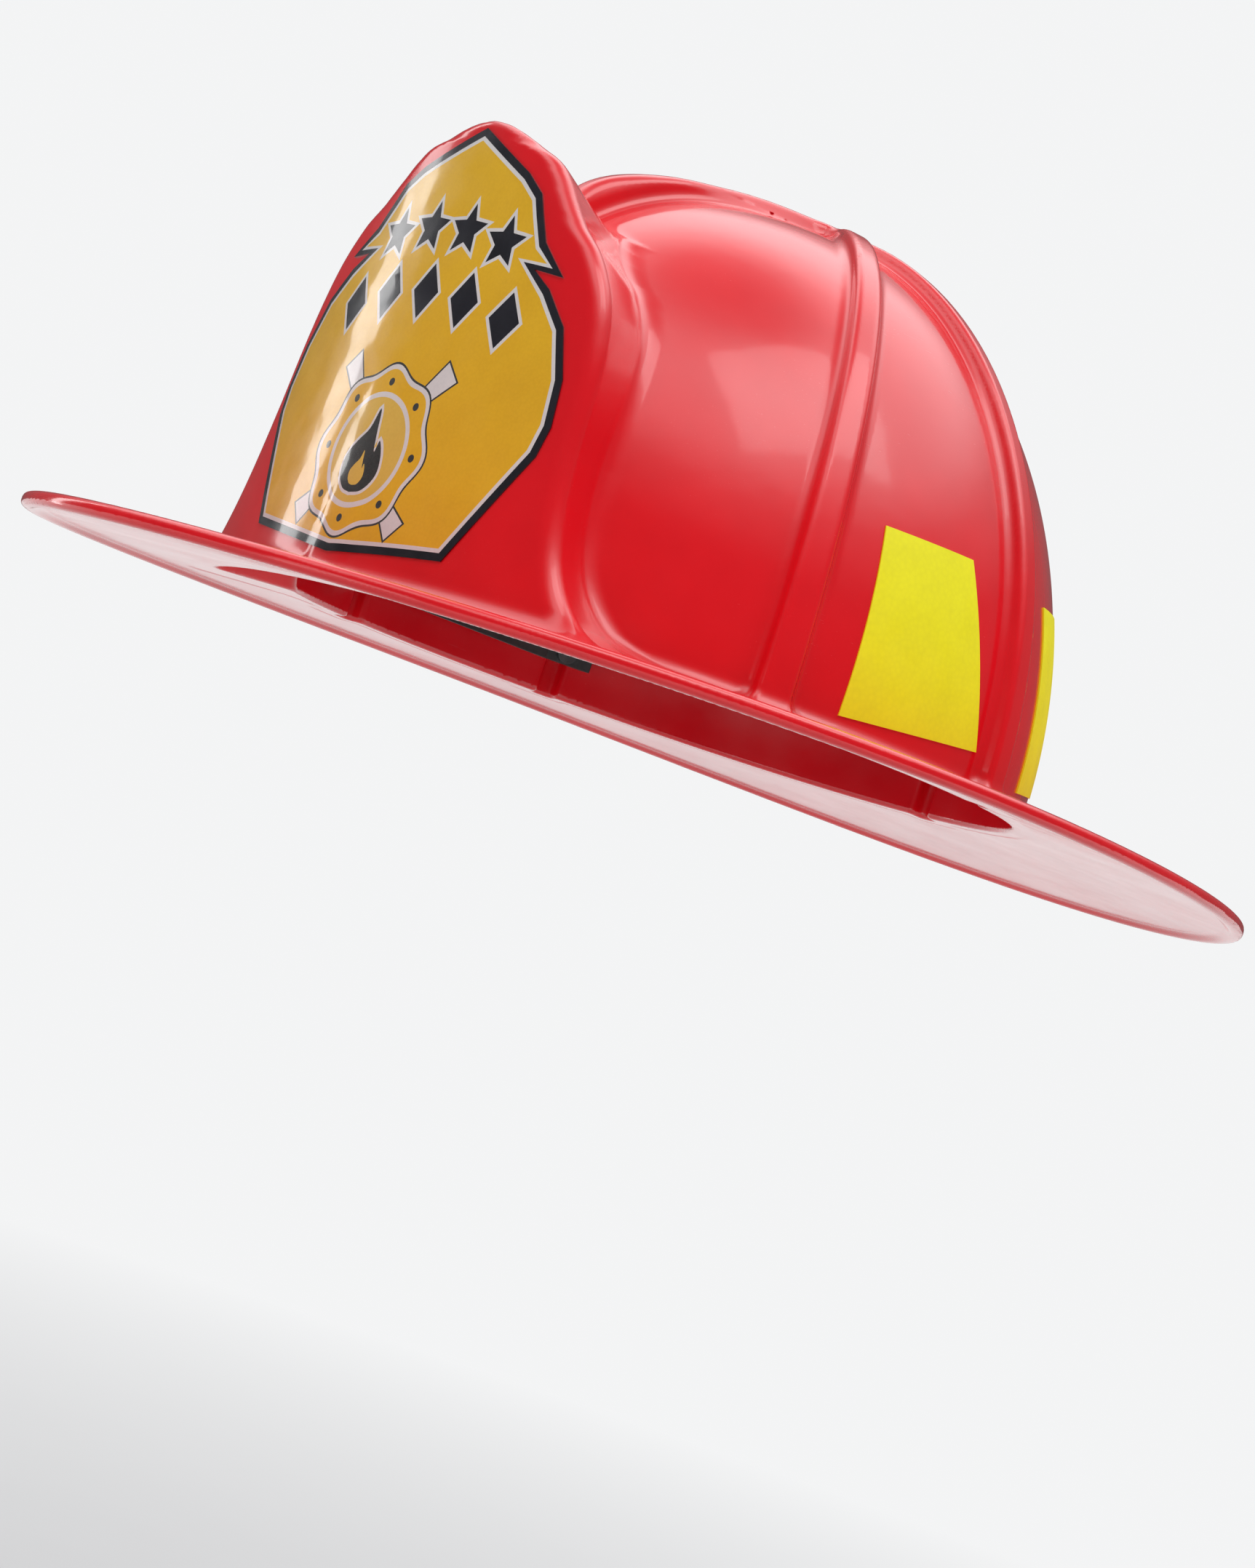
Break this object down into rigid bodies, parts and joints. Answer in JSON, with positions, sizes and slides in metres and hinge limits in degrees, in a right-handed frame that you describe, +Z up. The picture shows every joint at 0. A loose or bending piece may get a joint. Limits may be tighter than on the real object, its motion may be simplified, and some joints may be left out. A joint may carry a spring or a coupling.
{
  "type": "fire helmet",
  "caption": "Child's costume fire helmet: thin ribbed shell with a raised front shield and wide arched brim, stickers, and a plug-in liner whose nape strap slides to fit.",
  "frame": {"origin": "centre of the crown's base, level with the top of the brim at its middle", "axes": "+Z up towards the top of the crown, -Y towards the front shield, +X to the wearer's left"},
  "size_m": [0.222, 0.328, 0.1235],
  "materials": {
    "shell_red": "glossy moulded polypropylene, coloured through",
    "label_vinyl": "gold vinyl sticker with a black border and white keyline, clear gloss coat",
    "reflector_yellow": "matt fluorescent yellow vinyl",
    "liner_black": "satin moulded soft polyethylene",
    "stud_black": "satin moulded nylon",
    "pad_fabric": "brushed knit over foam"
  },
  "bodies": {
    "helmet": {"shell": "shell_red", "front_label": "label_vinyl", "reflector_left_side": "reflector_yellow", "reflector_right_side": "reflector_yellow", "reflector_left_rear": "reflector_yellow", "reflector_right_rear": "reflector_yellow", "headband": "liner_black", "brow_pad": "pad_fabric", "cradle_strap_lower": "liner_black", "cradle_strap_upper": "liner_black", "cradle_rivet": "stud_black", "key_left_front": "liner_black", "key_right_front": "liner_black", "key_left_rear": "liner_black", "key_right_rear": "liner_black", "key_rivets": "stud_black"},
    "nape": {"nape_strap": "liner_black", "size_studs": "stud_black"}
  },
  "joints": [
    {"name": "nape_slide", "type": "slide", "parent": "helmet", "child": "nape", "axis": [0, 1, 0], "range_m": [-0.009, 0.005]}
  ]
}
